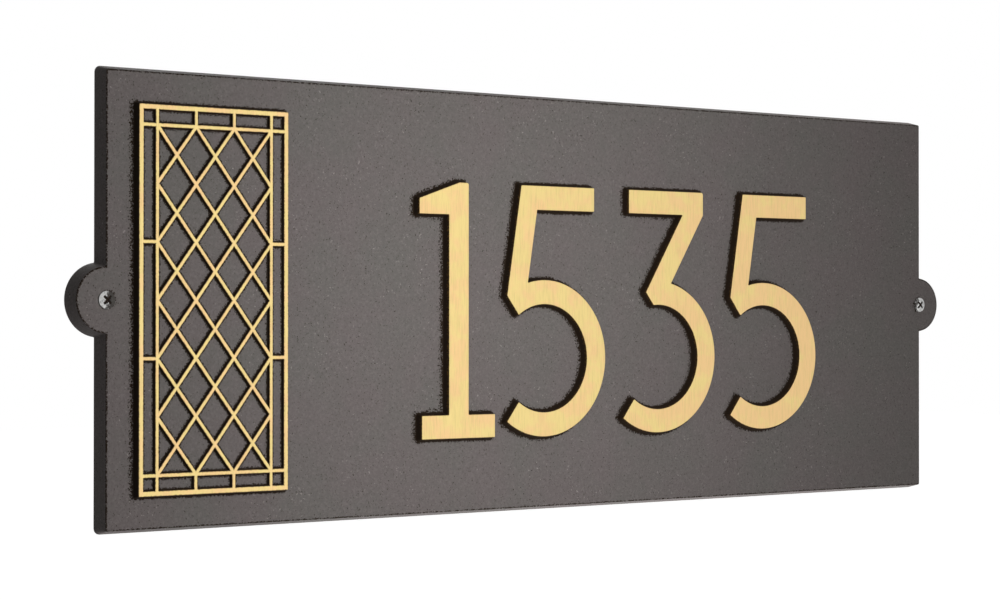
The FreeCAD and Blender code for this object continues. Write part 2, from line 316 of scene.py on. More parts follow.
class FinishColours(bpy.types.PropertyGroup):
    """Colours of the finishes"""

    paint: colour("Paint", "Dark bronze paint", (0.102, 0.088, 0.086))
    paint_worn: colour("Worn paint", "Lighter paint on the high spots", (0.150, 0.133, 0.130))
    paint_cool: colour("Cool paint", "Greenish cast in patches of the paint", (0.096, 0.090, 0.084))
    # Recess colour: dark paint together with painted shade in roots, on walls, round holes and on the
    # screws, and the colour of the dark pits and grit.
    recess: colour("Recess", "Dark paint in the roots and on the walls", (0.012, 0.0075, 0.0045))
    gold: colour("Gold", "Satin gold of the faces", (0.665, 0.523, 0.217))
    # Warm gold: random patches, and a painted light tint that grows towards the right.
    gold_warm: colour("Warm gold", "Pinker gold in patches", (0.685, 0.468, 0.225))
    gold_rim: colour("Gold rim", "Thin bronze line where the gold ends", (0.12, 0.065, 0.018))
    steel: colour("Steel", "Zinc-plated steel of the screws", (0.50, 0.50, 0.49))
    floor: colour("Floor", "Pale floor", (0.60, 0.60, 0.60))


def unit(vector):
    """The vector at length one."""
    return vector / np.hypot(*vector)


def sideways(vector):
    """The vector turned a quarter to the right, which points out of a counter-clockwise outline."""
    return np.array([vector[1], -vector[0]])


def cross(first, second):
    """Area of the parallelogram on two vectors, positive where the second lies to the left."""
    return first[0] * second[1] - first[1] * second[0]


def polar(centre, radius, degrees):
    """The point at a radius and an angle from a centre."""
    angle = math.radians(degrees)
    return np.array([centre[0] + radius * math.cos(angle), centre[1] + radius * math.sin(angle)])


def heading(side, point):
    """Direction of travel along a side at one of its points; round a bend, across its radius."""
    if isinstance(side, Line):
        return unit(side.end - side.start)
    return -side.turn * sideways(unit(point - side.centre))


def moved(side, growth):
    """A side moved out of its outline: a line along its outward normal, a bend by its radius."""
    if isinstance(side, Line):
        step = sideways(heading(side, side.start)) * growth
        return Line(side.start + step, side.end + step)
    return side._replace(radius=side.radius + side.turn * growth)


def foot(side, point):
    """The point of a side, drawn on past its ends, that is nearest to a point."""
    if isinstance(side, Line):
        direction = heading(side, side.start)
        return side.start + direction * ((point - side.start) @ direction)
    return side.centre + unit(point - side.centre) * side.radius


def crossing(first, second, near):
    """Where two sides, drawn on past their ends, cross nearest to a point.

    Two lines cross at the share of the first that the areas on the second's direction give. A line
    crosses a bend half a chord before and after the foot of the bend's centre.
    """
    if isinstance(first, Line) and isinstance(second, Line):
        one, other = first.end - first.start, second.end - second.start
        return first.start + one * cross(second.start - first.start, other) / cross(one, other)
    line, bend = (first, second) if isinstance(first, Line) else (second, first)
    middle = foot(line, bend.centre)
    half_chord = math.sqrt(bend.radius ** 2 - np.sum((middle - bend.centre) ** 2))
    step = heading(line, line.start) * half_chord
    return min(middle + step, middle - step, key=lambda point: np.hypot(*(point - near)))


def arc(centre, start, end, turn, steps):
    """Points from start to end round a centre: the centre plus radius times cosine and sine."""
    reach = start - centre
    first = math.atan2(reach[1], reach[0])
    last = math.atan2(end[1] - centre[1], end[0] - centre[0])
    sweep = turn * ((last - first) * turn % math.tau)
    angles = first + sweep * np.linspace(0.0, 1.0, steps + 1)
    return centre + np.hypot(*reach) * np.column_stack([np.cos(angles), np.sin(angles)])


def rounding(before, after, point, growth, radius):
    """The arc that rounds the corner between two sides moved out by the growth.

    Its centre is where both sides cross once they are moved by the radius towards the inside of
    the corner, and it runs between the feet of that centre on the two sides. An outer corner's
    radius changes with the growth, and a hollow one's only shrinks as the outline grows.
    """
    turn = math.copysign(1.0, cross(heading(before, point), heading(after, point)))
    change = growth if turn > 0 else -max(growth, 0.0)
    radius = max(radius + change, LEAST_RADIUS)
    inward = growth - turn * radius
    centre = crossing(moved(before, inward), moved(after, inward), point)
    start, end = foot(moved(before, growth), centre), foot(moved(after, growth), centre)
    return arc(centre, start, end, turn, CORNER_STEPS)


def bend_steps(side):
    """How many chords stand for a bend, from the angle that it sweeps."""
    first, last = side.start - side.centre, side.end - side.centre
    sweep = side.turn * (math.atan2(last[1], last[0]) - math.atan2(first[1], first[0])) % math.tau
    return max(2, round(sweep / BEND_STEP))


def outline(sides, radii, growth):
    """Points of a closed outline moved out by the growth: each side's first corner, then its bend."""
    corners = [rounding(sides[i - 1], side, side.start, growth, radii[i])
               for i, side in enumerate(sides)]
    pieces = []
    for i, side in enumerate(sides):
        pieces.append(corners[i])
        if isinstance(side, Bend):
            first, last = corners[i][-1], corners[(i + 1) % len(sides)][0]
            pieces.append(arc(side.centre, first, last, side.turn, bend_steps(side))[1:-1])
    return np.vstack(pieces)


def drifted(sides, radii, near, far):
    """Points of an outline moved out by the near growth, and on to the far growth where it faces left.

    The share of that way is the leftward part of the step from near to far, over the growth between
    them, and nought where the step goes to the right.
    """
    start, end = outline(sides, radii, near), outline(sides, radii, far)
    step = end - start
    share = np.clip(-step[:, :1] / (far - near), 0.0, 1.0)
    return start + share * step


def polygon(points):
    """Straight sides through points, counter-clockwise."""
    points = [np.array(point) for point in points]
    return [Line(point, points[(i + 1) % len(points)]) for i, point in enumerate(points)]


def profile(points, radii):
    """A bent line (growth, height) with its inner corners rounded by arcs."""
    points = [np.array(point) for point in points]
    sides = [Line(start, end) for start, end in zip(points, points[1:])]
    middle = []
    for before, after, radius in zip(sides, sides[1:], radii):
        turn = math.copysign(1.0, cross(heading(before, after.start), heading(after, after.start)))
        centre = crossing(moved(before, -turn * radius), moved(after, -turn * radius), after.start)
        middle.append(arc(centre, foot(before, centre), foot(after, centre), turn, PROFILE_STEPS))
    return np.vstack([points[:1]] + middle + [points[-1:]])


class Skin:
    """A mesh put together from rings of points, with two painted values at each point."""

    def __init__(self):
        self.points = []
        self.gilding = []
        self.shade_and_dark_paint = []
        self.faces = []
        self.count = 0

    def ring(self, flat, height, gilding, shade_and_dark_paint):
        """Adds points (x, -height, z) and gives their numbers."""
        numbers = np.arange(self.count, self.count + len(flat))
        self.points.append(np.column_stack([flat[:, 0], np.full(len(flat), -height), flat[:, 1]]))
        self.gilding.append(np.full(len(flat), gilding))
        self.shade_and_dark_paint.append(np.full(len(flat), shade_and_dark_paint))
        self.count += len(flat)
        return numbers

    def strip(self, low, high):
        """Four-sided faces between two rings of equal count."""
        self.faces += np.column_stack([low, np.roll(low, -1), np.roll(high, -1), high]).tolist()

    def wall(self, sides, radii, stations, shadow_drift=0.0):
        """A profile carried along an outline: a ring for each station (growth, height, gilding, dark
        paint and painted shade).

        The first ring drifts to the left by up to a distance, which widens the painted shadow on the
        left.
        """
        rings = [self.ring(outline(sides, radii, growth), *rest) for growth, *rest in stations]
        if shadow_drift:
            growth = stations[0][0]
            self.points[-len(stations)][:, [0, 2]] = drifted(sides, radii, growth, growth + shadow_drift)
        for low, high in zip(rings, rings[1:]):
            self.strip(low, high)
        return rings[0], rings[-1]

    def fill(self, outer, holes=(), backwards=False):
        """Flat triangles inside an outer ring and outside the rings within it."""
        loops = [outer, *holes]
        numbers = np.concatenate(loops)
        flat = np.vstack(self.points)[numbers][:, [0, 2]] / MILLIMETRE
        borders = np.cumsum([0] + [len(loop) for loop in loops])
        regions = [list(range(start, end)) for start, end in zip(borders, borders[1:])]
        made = delaunay_2d_cdt(flat.tolist(), [], regions, 1, 1e-5)
        origin = np.array([numbers[old[0]] for old in made[3]])
        kept = [face for face, within in zip(made[2], made[5]) if within == [0]]
        triangles = origin[np.array(kept)]
        self.faces += (triangles[:, ::-1] if backwards else triangles).tolist()

    def piece(self, name, material):
        """The finished object."""
        mesh = bpy.data.meshes.new(name)
        mesh.from_pydata(np.vstack(self.points), [], self.faces)
        paint(mesh, "gilding", np.concatenate(self.gilding))
        paint(mesh, "shade_and_dark_paint", np.concatenate(self.shade_and_dark_paint))
        return finished(mesh, name, material)


def paint(mesh, name, values):
    """Puts a value on each point of a mesh, for its finish to read."""
    mesh.attributes.new(name, "FLOAT", "POINT").data.foreach_set("value", values)


def finished(mesh, name, material):
    """An object on a mesh, smooth and with its material, linked to the scene."""
    mesh.update()
    mesh.shade_smooth()
    mesh.materials.append(material)
    made = bpy.data.objects.new(name, mesh)
    bpy.context.scene.collection.objects.link(made)
    return made


def plate_sides(plate):
    """Sides and corner radii of the plate with its ears, counter-clockwise from the right ear."""
    half_width, half_height = plate.width / 2, plate.height / 2
    ear, corner, hollow = plate.ear_radius, plate.corner_radius, plate.ear_hollow
    sides, radii = [], []
    reach = half_width - plate.hole_spacing / 2
    rise = math.sqrt(ear ** 2 - reach ** 2)
    for facing in (1, -1):
        middle = np.array([facing * plate.hole_spacing / 2, 0.0])
        low, high = facing * np.array([half_width, -rise]), facing * np.array([half_width, rise])
        top = facing * np.array([half_width, half_height])
        across = top * (-1, 1)
        sides += [Bend(low, high, middle, ear, 1), Line(high, top), Line(top, across),
                  Line(across, high * (-1, 1))]
        radii += [hollow, hollow, corner, corner]
    return sides, radii


def wall_stations(root, top, rise, fringe, wear=0.0):
    """Stations of a wall: over the floor, up from the root and onto the gilded face.

    The gilding falls from one at the face to nought at its depth below, less the wear along the rim.
    """
    points = [(root + fringe, top - rise), (root, top - rise), (0.0, top), (-INLAY, top)]
    line = profile(points, [ROOT_RADIUS, EDGE_RADIUS])
    gilding = np.clip((line[:, 1] - top) / GILT_DEPTH + 1.0, 0.0, 1.0)
    # Dark paint and painted shade: none on the fringe ring, full at the root, the wall strength up the
    # wall, none on the gold.
    shade_and_dark_paint = np.full(len(line), WALL_SHADE_AND_DARK_PAINT)
    shade_and_dark_paint[:2] = 0.0, 1.0
    shade_and_dark_paint[gilding > 0.5] = 0.0
    gilding[:-1] *= 1.0 - wear
    return np.column_stack([line, gilding, shade_and_dark_paint])


def numeral_one(sizes, left, base):
    """The one: foot, stem and a flag that falls away to the left."""
    top = base + sizes.height
    foot_top = base + ONE_FOOT_HEIGHT
    stem_left = left + ONE_FLAG_REACH
    stem_right = stem_left + sizes.stem
    middle = (stem_left + stem_right) / 2
    foot_left, foot_right = middle - ONE_FOOT_WIDTH / 2, middle + ONE_FOOT_WIDTH / 2
    flag_low = top - ONE_FLAG_DROP
    flag_high = flag_low + ONE_FLAG_END
    crest = left + (top - flag_high) / math.tan(ONE_FLAG_SLOPE)
    sides = polygon([(foot_left, base), (foot_right, base), (foot_right, foot_top),
                     (stem_right, foot_top), (stem_right, top), (crest, top), (left, flag_high),
                     (left, flag_low), (stem_left, flag_low), (stem_left, foot_top),
                     (foot_left, foot_top)])
    radii = [sizes.softness] * len(sides)
    radii[4] = ROUND_CORNER
    return sides, radii


def bowl_sides(sizes, centre, hook, join):
    """The inner bend from the hook to the bowl's cut end, the cut, and the outer bend to the join."""
    outer, inner = sizes.bowl, sizes.bowl - sizes.stroke
    inner_end, outer_end = polar(centre, inner, -BOWL_END), polar(centre, outer, -BOWL_END)
    return [Bend(hook, inner_end, centre, inner, -1), Line(inner_end, outer_end),
            Bend(outer_end, join, centre, outer, 1)]


def numeral_five(sizes, centre, top):
    """A five: flag, leaning stem and round bowl."""
    shoulder = polar(centre, sizes.bowl, BOWL_END)
    hook = polar(centre, sizes.bowl - sizes.stroke, BOWL_END)
    flag_low = top - sizes.stroke

    def lean(x, z):
        return np.array([shoulder[0] + x + FIVE_LEAN * (z - shoulder[1]), z])

    right = Line(lean(sizes.stem, shoulder[1]), lean(sizes.stem, flag_low))
    whole = Bend(shoulder, shoulder, centre, sizes.bowl, 1)
    join = crossing(right, whole, right.start)
    flag_end = centre[0] + FIVE_FLAG_END
    flag = [np.array([flag_end, flag_low]), np.array([flag_end, top]), lean(0.0, top)]
    sides = [Line(flag[2], shoulder), Line(shoulder, hook), *bowl_sides(sizes, centre, hook, join),
             Line(join, right.end), Line(right.end, flag[0]), Line(flag[0], flag[1]),
             Line(flag[1], flag[2])]
    return sides, [sizes.softness] * len(sides)


def numeral_three(sizes, centre, top):
    """A three with a flat top: flag, diagonal, beak and round bowl."""
    slope = math.tan(THREE_LEAN)
    across = sizes.stroke / math.cos(THREE_LEAN)
    flag_low = top - sizes.stroke
    flag_left, flag_right = centre[0] - THREE_FLAG_START, centre[0] + THREE_FLAG_END

    def lean(x, z):
        return np.array([flag_right + x + slope * (z - flag_low), z])

    beak = lean(-across, centre[1] + sizes.bowl - sizes.stroke + THREE_BEAK_RISE)
    hook = polar(centre, sizes.bowl - sizes.stroke, THREE_BEAK_ANGLE)
    right = Line(lean(0.0, centre[1] + sizes.bowl), lean(0.0, flag_low))
    whole = Bend(hook, hook, centre, sizes.bowl, 1)
    join = crossing(right, whole, right.start)
    inner_corner = lean(-across, flag_low)
    flag = [np.array(point) for point in ((flag_right, top), (flag_left, top), (flag_left, flag_low))]
    sides = [Line(flag[1], flag[2]), Line(flag[2], inner_corner), Line(inner_corner, beak),
             Line(beak, hook), *bowl_sides(sizes, centre, hook, join), Line(join, right.end),
             Line(right.end, flag[0]), Line(flag[0], flag[1])]
    radii = [sizes.softness] * len(sides)
    radii[-1] = ROUND_CORNER
    return sides, radii


def number(plate, panel, sizes):
    """The numerals 1535, set out from left to right on one base line."""
    base = -plate.height / 2 + sizes.baseline
    top = base + sizes.height
    bowl_z = base - BOWL_OVERSHOOT + sizes.bowl
    back = sizes.bowl * math.cos(math.radians(180.0 - BOWL_END))
    left = -plate.width / 2 + panel.margin + panel.width + NUMBER_GAP
    one_right = left + ONE_FLAG_REACH + sizes.stem / 2 + ONE_FOOT_WIDTH / 2
    first_five = one_right + ONE_TO_FIVE + back
    three = first_five + sizes.bowl + FIVE_TO_THREE + back
    second_five = three + sizes.bowl + THREE_TO_FIVE + back
    return [numeral_one(sizes, left, base),
            numeral_five(sizes, np.array([first_five, bowl_z]), top),
            numeral_three(sizes, np.array([three, bowl_z]), top),
            numeral_five(sizes, np.array([second_five, bowl_z]), top)]


def rectangle(left, right, low, high):
    """Corners of a rectangle, counter-clockwise."""
    return [(left, low), (right, low), (right, high), (left, high)]


def border_cells(panel, left, right, low, high):
    """Cells of the border: corner squares, and strips between them cut into lengths."""
    wide = panel.border
    columns = np.linspace(left + wide, right - wide, panel.columns + 1)
    rows = np.linspace(low + wide, high - wide, max(1, panel.rows // 2) + 1)
    sides, ends = (left, right - wide), (low, high - wide)
    cells = [rectangle(x, x + wide, z, z + wide) for x in sides for z in ends]
    cells += [rectangle(a, b, z, z + wide) for a, b in zip(columns, columns[1:]) for z in ends]
    cells += [rectangle(x, x + wide, a, b) for a, b in zip(rows, rows[1:]) for x in sides]
    return cells


def trellis_cells(panel, left, right, low, high):
    """Cells of the trellis: whole diamonds, and half diamonds along the four sides."""
    column = (right - left) / panel.columns / 2
    row = (high - low) / panel.rows / 2
    cells = []
    for i in range(2 * panel.columns + 1):
        for j in range(1 - i % 2, 2 * panel.rows + 1, 2):
            x, z = left + i * column, low + j * row
            whole = [(i - 1, j), (i, j - 1), (i + 1, j), (i, j + 1)]
            cells.append([(left + a * column, low + b * row) for a, b in whole
                          if 0 <= a <= 2 * panel.columns and 0 <= b <= 2 * panel.rows])
    return cells


def panel_cells(plate, panel):
    """Outer corners of the panel, and the middle lines of the leads round each of its cells."""
    left = -plate.width / 2 + panel.margin
    right = left + panel.width
    low, high = -panel.height / 2, panel.height / 2
    line = panel.frame - panel.lead / 2
    field = line + panel.border
    cells = border_cells(panel, left + line, right - line, low + line, high - line)
    cells += trellis_cells(panel, left + field, right - field, low + field, high - field)
    return rectangle(left, right, low, high), cells


def circle(centre, radius):
    """Points round a centre, counter-clockwise: the centre plus radius times cosine and sine."""
    angles = np.arange(HOLE_STEPS) * math.tau / HOLE_STEPS
    return centre + radius * np.column_stack([np.cos(angles), np.sin(angles)])


def screw_holes(skin, plate):
    """The two holes through the ears, with softened mouths; gives their front and back rings."""
    fronts, backs = [], []
    soft = plate.back_radius
    for side in (-1, 1):
        centre = np.array([side * plate.hole_spacing / 2, 0.0])
        stations = profile([(HOLE_FRINGE, plate.thickness), (0.0, plate.thickness), (0.0, 0.0),
                            (HOLE_FRINGE, 0.0)], [soft, soft])
        # Painted shadow round each screw head: the bore and the mouth are darkened, fading out over the
        # fringe.
        shade_and_dark_paint = np.ones(len(stations))
        shade_and_dark_paint[[0, -1]] = 0.0
        rings = [skin.ring(circle(centre, plate.hole_radius + growth), height, 0.0, dark)
                 for (growth, height), dark in zip(stations, shade_and_dark_paint)]
        # The fringe ring drifts towards the number, to widen the painted shadow on that side.
        skin.points[-len(rings)][:, 0] -= side * HOLE_SHADOW_DRIFT
        for high, low in zip(rings, rings[1:]):
            skin.strip(high, low)
        fronts.append(rings[0])
        backs.append(rings[-1])
    return fronts, backs


def cast_plaque(plate, numerals, panel, material):
    """Plate, numerals and panel as the one closed skin that they are cast as."""
    skin = Skin()
    thick = plate.thickness
    sides, radii = plate_sides(plate)
    edge = profile([(-EDGE_INLAY, 0.0), (0.0, 0.0), (-plate.draft, thick), (-EDGE_INLAY, thick)],
                   [plate.back_radius, plate.edge_radius])
    # Painted shade: a dark line on the top of the edge wall and over its front rounding.
    line_start = np.array([-plate.draft, thick]) * (1 - EDGE_SHADE_START / thick)
    edge = np.insert(edge, PROFILE_STEPS + 2, line_start, axis=0)
    shade_and_dark_paint = np.where(edge[:, 1] > line_start[1], EDGE_LINE_SHADE, 0.0)
    shade_and_dark_paint[-1] = 0.0
    back, front = skin.wall(sides, radii, np.column_stack([edge, np.zeros(len(edge)), shade_and_dark_paint]))
    fronts, backs = screw_holes(skin, plate)
    skin.fill(back, backs, backwards=True)
    openings = list(fronts)
    raised = wall_stations(numerals.draft, thick + numerals.relief, numerals.relief, FRINGE)
    # Each numeral's painted shadow drifts its own distance to the left.
    for (shape, corner), shadow_drift in zip(number(plate, panel, numerals), NUMBER_SHADOW_DRIFTS):
        root, face = skin.wall(shape, corner, raised, shadow_drift)
        openings.append(root)
        skin.fill(face)
    border, cells = panel_cells(plate, panel)
    soft = [numerals.softness] * 4
    top = thick + panel.relief
    raised = wall_stations(panel.draft, top, panel.relief, FRINGE, LEAD_WEAR)
    root, face = skin.wall(polygon(border), soft, raised, PANEL_SHADOW_DRIFT)
    openings.append(root)
    mouths = []
    for cell in cells:
        lean = panel.draft * panel.depth / panel.relief
        stations = wall_stations(lean, top, panel.depth, CELL_FRINGE, LEAD_WEAR)[::-1]
        stations[:, 0] = -stations[:, 0] - panel.lead / 2
        stations[0, 0] = -panel.lead / 2 + LEAD_INLAY
        mouth, floor = skin.wall(polygon(cell), [CELL_SOFTNESS] * len(cell), stations)
        mouths.append(mouth)
        skin.fill(floor)
    skin.fill(face, mouths)
    skin.fill(front, openings)
    return skin.piece("cast_plaque", material)


def screw_surface(sizes):
    """Radius and depth of a screw's surface on a grid of rows down its length and columns round it.

    Depth counts from the underside of the head. The dome's depth is that of its sphere, sunk by the
    recess: its depth times a smooth step of how far a point lies inside either slot. The thread's
    radius is the core's plus a ridge, which is a peak once a turn of depth over pitch less angle over
    a turn, and both shrink to the point.
    """
    angles = np.arange(SCREW_COLUMNS) * math.tau / SCREW_COLUMNS
    radii = np.linspace(0.0, 1.0, DOME_RINGS + 1)[1:] * (sizes.head_radius - RIM_ROUNDING)
    dome = sizes.head_height - sizes.rim
    sphere = (sizes.head_radius ** 2 + dome ** 2) / (2 * dome)
    r, turned = np.meshgrid(radii, angles + math.pi / 4, indexing="ij")
    depth = -sizes.head_height + sphere - np.sqrt(sphere ** 2 - r ** 2)
    u, v = np.abs(r * np.cos(turned)), np.abs(r * np.sin(turned))
    half, reach = sizes.recess_slot / 2, sizes.recess_span / 2
    inside = np.maximum(np.minimum(half - v, reach - u), np.minimum(half - u, reach - v))
    share = np.clip(inside / SLOT_SLOPE + SLOT_SHIFT, 0.0, 1.0)
    depth += sizes.recess_depth * share ** 2 * (3 - 2 * share) * (1 - SLOT_RISE * r / reach)
    rim = profile([(sizes.head_radius - RIM_ROUNDING, -sizes.rim - RIM_ROUNDING / 2),
                   (sizes.head_radius, -sizes.rim), (sizes.head_radius, 0.0),
                   (sizes.shank_radius, 0.0), (sizes.shank_radius, NECK_END)],
                  [RIM_ROUNDING, RIM_ROUNDING, NECK_ROUNDING])[1:]
    start = sizes.shank - THREAD_LEAD
    rows = np.arange(start, sizes.length, sizes.pitch / TURN_RINGS)[1:]
    y, a = np.meshgrid(rows, angles, indexing="ij")
    phase = (y / sizes.pitch - a / math.tau) % 1.0
    ridge = np.clip(1.0 - RIDGE_SLOPE * np.abs(phase - 0.5), 0.0, 1.0)
    blend = np.clip((y - start) / sizes.pitch / THREAD_GROWTH, 0.0, 1.0)
    taper = np.sqrt(np.clip((sizes.length - y) / sizes.point, 0.0, 1.0))
    core = sizes.shank_radius + (sizes.core_radius - sizes.shank_radius) * blend
    thread = core + (sizes.thread_radius - core) * ridge * blend
    below = np.vstack([rim, [(sizes.shank_radius, start)]])
    grid = np.concatenate([
        np.stack([r, depth], axis=-1),
        np.repeat(below[:, None, :], SCREW_COLUMNS, axis=1),
        np.stack([thread * taper, y], axis=-1)])
    shade_and_dark_paint = np.zeros(grid.shape[:2])
    # Painted shade in the cross recess.
    shade_and_dark_paint[:DOME_RINGS] = np.clip(SLOT_SHADE * share, 0.0, 1.0)
    return grid, shade_and_dark_paint


def wall_screw(name, sizes, plate, side, shaded_side, material):
    """A round-headed screw through an ear: its grid closed by a point at each end."""
    grid, shade_and_dark_paint = screw_surface(sizes)
    angles = np.arange(SCREW_COLUMNS) * math.tau / SCREW_COLUMNS
    centre = side * plate.hole_spacing / 2
    x = centre + grid[..., 0] * np.cos(angles)
    y = grid[..., 1] - plate.thickness
    z = grid[..., 0] * np.sin(angles)
    ends = [(centre, -plate.thickness - sizes.head_height + sizes.recess_depth, 0.0),
            (centre, sizes.length - plate.thickness, 0.0)]
    points = np.vstack([np.stack([x, y, z], axis=-1).reshape(-1, 3), ends])
    numbers = np.arange(x.size).reshape(x.shape)
    ahead = np.roll(numbers, -1, axis=1)
    quads = np.stack([numbers[1:], ahead[1:], ahead[:-1], numbers[:-1]], axis=-1).reshape(-1, 4)
    first, last = x.size, x.size + 1
    caps = [(a, b, first) for a, b in zip(numbers[0], ahead[0])]
    caps += [(b, a, last) for a, b in zip(numbers[-1], ahead[-1])]
    mesh = bpy.data.meshes.new(name)
    mesh.from_pydata(points, [], quads.tolist() + caps)
    # Painted shade on the side of the head that faces the number, standing in for a dark reflection.
    inward = side * (centre - points[:, 0]) / sizes.head_radius
    paint(mesh, "shade_and_dark_paint", np.append(shade_and_dark_paint, [1.0, 0.0]))
    paint(mesh, "shaded_side", shaded_side + SHADED_SIDE_LEAN * inward)
    return finished(mesh, name, material)


class Value:
    """A number in a node tree, with arithmetic that adds Math nodes."""

    def __init__(self, nodes, socket):
        self.nodes = nodes
        self.socket = socket

    def math(self, operation, *values):
        return self.nodes.add("ShaderNodeMath", {"operation": operation}, dict(enumerate(values)))

    def __add__(self, other):
        return self.math("ADD", self, other)

    __radd__ = __add__

    def __sub__(self, other):
        return self.math("SUBTRACT", self, other)

    def __rsub__(self, other):
        return self.math("SUBTRACT", other, self)

    def __mul__(self, other):
        return self.math("MULTIPLY", self, other)

    __rmul__ = __mul__

    def at_least(self, other):
        return self.math("MAXIMUM", self, other)

    def step(self, low, high):
        """Nought below low, one above high, and a smooth rise between them."""
        return self.nodes.add("ShaderNodeMapRange", {"interpolation_type": "SMOOTHSTEP"},
                              {"Value": self, "From Min": low, "From Max": high})

    def share(self, most, low, high):
        """A step that rises to a share."""
        return most * self.step(low, high)


class Nodes:
    """The node tree of a material or a world."""

    def __init__(self, owner):
        owner.use_nodes = True
        self.tree = owner.node_tree
        self.tree.nodes.clear()

    def add(self, kind, settings=None, values=None, output=0):
        """A node of a type, with its settings and then the values or links of its sockets."""
        node = self.tree.nodes.new(kind)
        for name, setting in (settings or {}).items():
            setattr(node, name, setting)
        for name, value in (values or {}).items():
            if isinstance(value, Value):
                self.tree.links.new(value.socket, node.inputs[name])
            else:
                node.inputs[name].default_value = value
        return Value(self, node.outputs[output]) if node.outputs else node

    def mix(self, factor, first, second):
        """A colour between two colours."""
        return self.add("ShaderNodeMix", {"data_type": "RGBA"},
                        {0: factor, 6: solid(first), 7: solid(second)}, output=2)

    def place(self, stretch=(1.0, 1.0, 1.0)):
        """Object coordinates, scaled along each axis."""
        here = self.add("ShaderNodeTexCoord", output="Object")
        return self.add("ShaderNodeMapping", {}, {"Vector": here, "Scale": stretch})

    def noise(self, place, scale, detail, roughness):
        """Smooth noise from nought to one."""
        return self.add("ShaderNodeTexNoise", {},
                        {"Vector": place, "Scale": scale, "Detail": detail, "Roughness": roughness},
                        output="Fac")

    def painted(self, name):
        """A value painted on the mesh."""
        return self.add("ShaderNodeAttribute", {"attribute_name": name}, output="Fac")

    def bump(self, height):
        """The normal over heights in millimetres."""
        return self.add("ShaderNodeBump", {},
                        {"Height": height, "Distance": MILLIMETRE, "Strength": 1.0})

    def surface(self, sockets):
        """A principled shader with these sockets, as the surface."""
        shader = self.add("ShaderNodeBsdfPrincipled", {}, sockets)
        self.add("ShaderNodeOutputMaterial", {}, {"Surface": shader})


def solid(value):
    """A colour with its alpha, or a link as it is."""
    return value if isinstance(value, Value) else (*value, 1.0)


def times(share, colour):
    """A colour made darker or lighter."""
    return tuple(share * part for part in colour)


def casting_finish(colours):
    """Textured dark bronze paint, with dark paint and painted shade in the roots and on the walls, and
    satin gold on the faces with a painted light tint towards the right.
    """
    material = bpy.data.materials.new("bronze_paint_and_gold")
    nodes = Nodes(material)
    place = nodes.place()
    mottle = nodes.noise(place, *MOTTLE)
    patches = nodes.noise(place, *PATCHES)
    sand = nodes.noise(place, *SAND)
    grit = nodes.noise(place, *GRIT)
    pits = nodes.noise(place, *PITS)
    specks = nodes.noise(place, *SPECKS)
    grain = nodes.noise(nodes.place(BRUSHED), *GRAIN)
    hue = nodes.noise(place, *HUE)
    clusters = nodes.noise(place, *CLUSTERS).step(*CLUSTERED)
    ragged = nodes.noise(place, *RAGGED).step(*FRAYED)
    across = nodes.add("ShaderNodeSeparateXYZ", {}, {"Vector": place}, output="X")

    painted_shade_and_dark_paint = nodes.painted("shade_and_dark_paint")
    painted_gilding = nodes.painted("gilding")
    # Dark paint and painted shade in roots, on walls, along the front edge, and painted shadows round
    # the relief and the holes, frayed by noise.
    sway = SHADE_AND_DARK_PAINT_SWAY + NEAR_SHADE_AND_DARK_PAINT_SWAY * painted_shade_and_dark_paint.step(*NEAR_SHADE_AND_DARK_PAINT)
    shade_and_dark_paint = (painted_shade_and_dark_paint + sway * (ragged - 0.5)).step(*SHADED_AND_DARK_PAINTED)
    gilding = (painted_gilding + GILDING_SWAY * (ragged - 0.5)).step(*GILDED)
    rim = 1.0 - (painted_gilding + RIM_SWAY * ragged).step(*INSIDE_RIM)

    worn = sand.share(*WORN)
    dulled = grit.share(*DULLED)
    pitted = clusters * (pits + PITS_SWAY * (patches - 0.5)).share(*PITTED)
    sparkling = clusters * specks.share(*SPARKLING)
    paint_colour = nodes.mix(mottle.step(*COOLED), colours.paint, colours.paint_cool)
    paint_colour = nodes.mix(worn, paint_colour, colours.paint_worn)
    paint_colour = nodes.mix(dulled, paint_colour, colours.recess)
    paint_colour = nodes.mix(pitted, paint_colour, colours.recess)
    paint_colour = nodes.mix(sparkling, paint_colour, times(SPECK_LIGHTNESS, colours.paint_worn))
    paint_colour = nodes.mix(shade_and_dark_paint, paint_colour, colours.recess)

    # Warm gold in random patches, pushed by a painted light tint towards the right.
    warmth_and_light_tint = (hue + PAINTED_LIGHT_WARM_SWAY * across.step(*PAINTED_LIGHT_WARM_SIDE)).step(*WARMED)
    brushed = grain.share(*MARKED)
    gold_colour = nodes.mix(warmth_and_light_tint, colours.gold, colours.gold_warm)
    gold_colour = nodes.mix(brushed, gold_colour, times(MARK_LIGHTNESS, colours.gold))
    gold_colour = nodes.mix(rim, gold_colour, colours.gold_rim)

    paint_height = (SAND_HEIGHT * sand + GRIT_HEIGHT * grit - PIT_DEPTH * pits.step(*HOLLOWED)
                    + PATCH_HEIGHT * patches)
    gold_height = GRAIN_HEIGHT * grain + GOLD_PATCH_HEIGHT * patches
    gold_roughness = GOLD_ROUGHNESS + GRAIN_ROUGHNESS * grain
    nodes.surface({
        "Base Color": nodes.mix(gilding, paint_colour, gold_colour),
        "Metallic": gilding,
        "Roughness": PAINT_ROUGHNESS * (1.0 - gilding) + gold_roughness * gilding,
        "Specular IOR Level": PAINT_SHEEN,
        "Normal": nodes.bump(paint_height * (1.0 - gilding) + gold_height * gilding)})
    return material


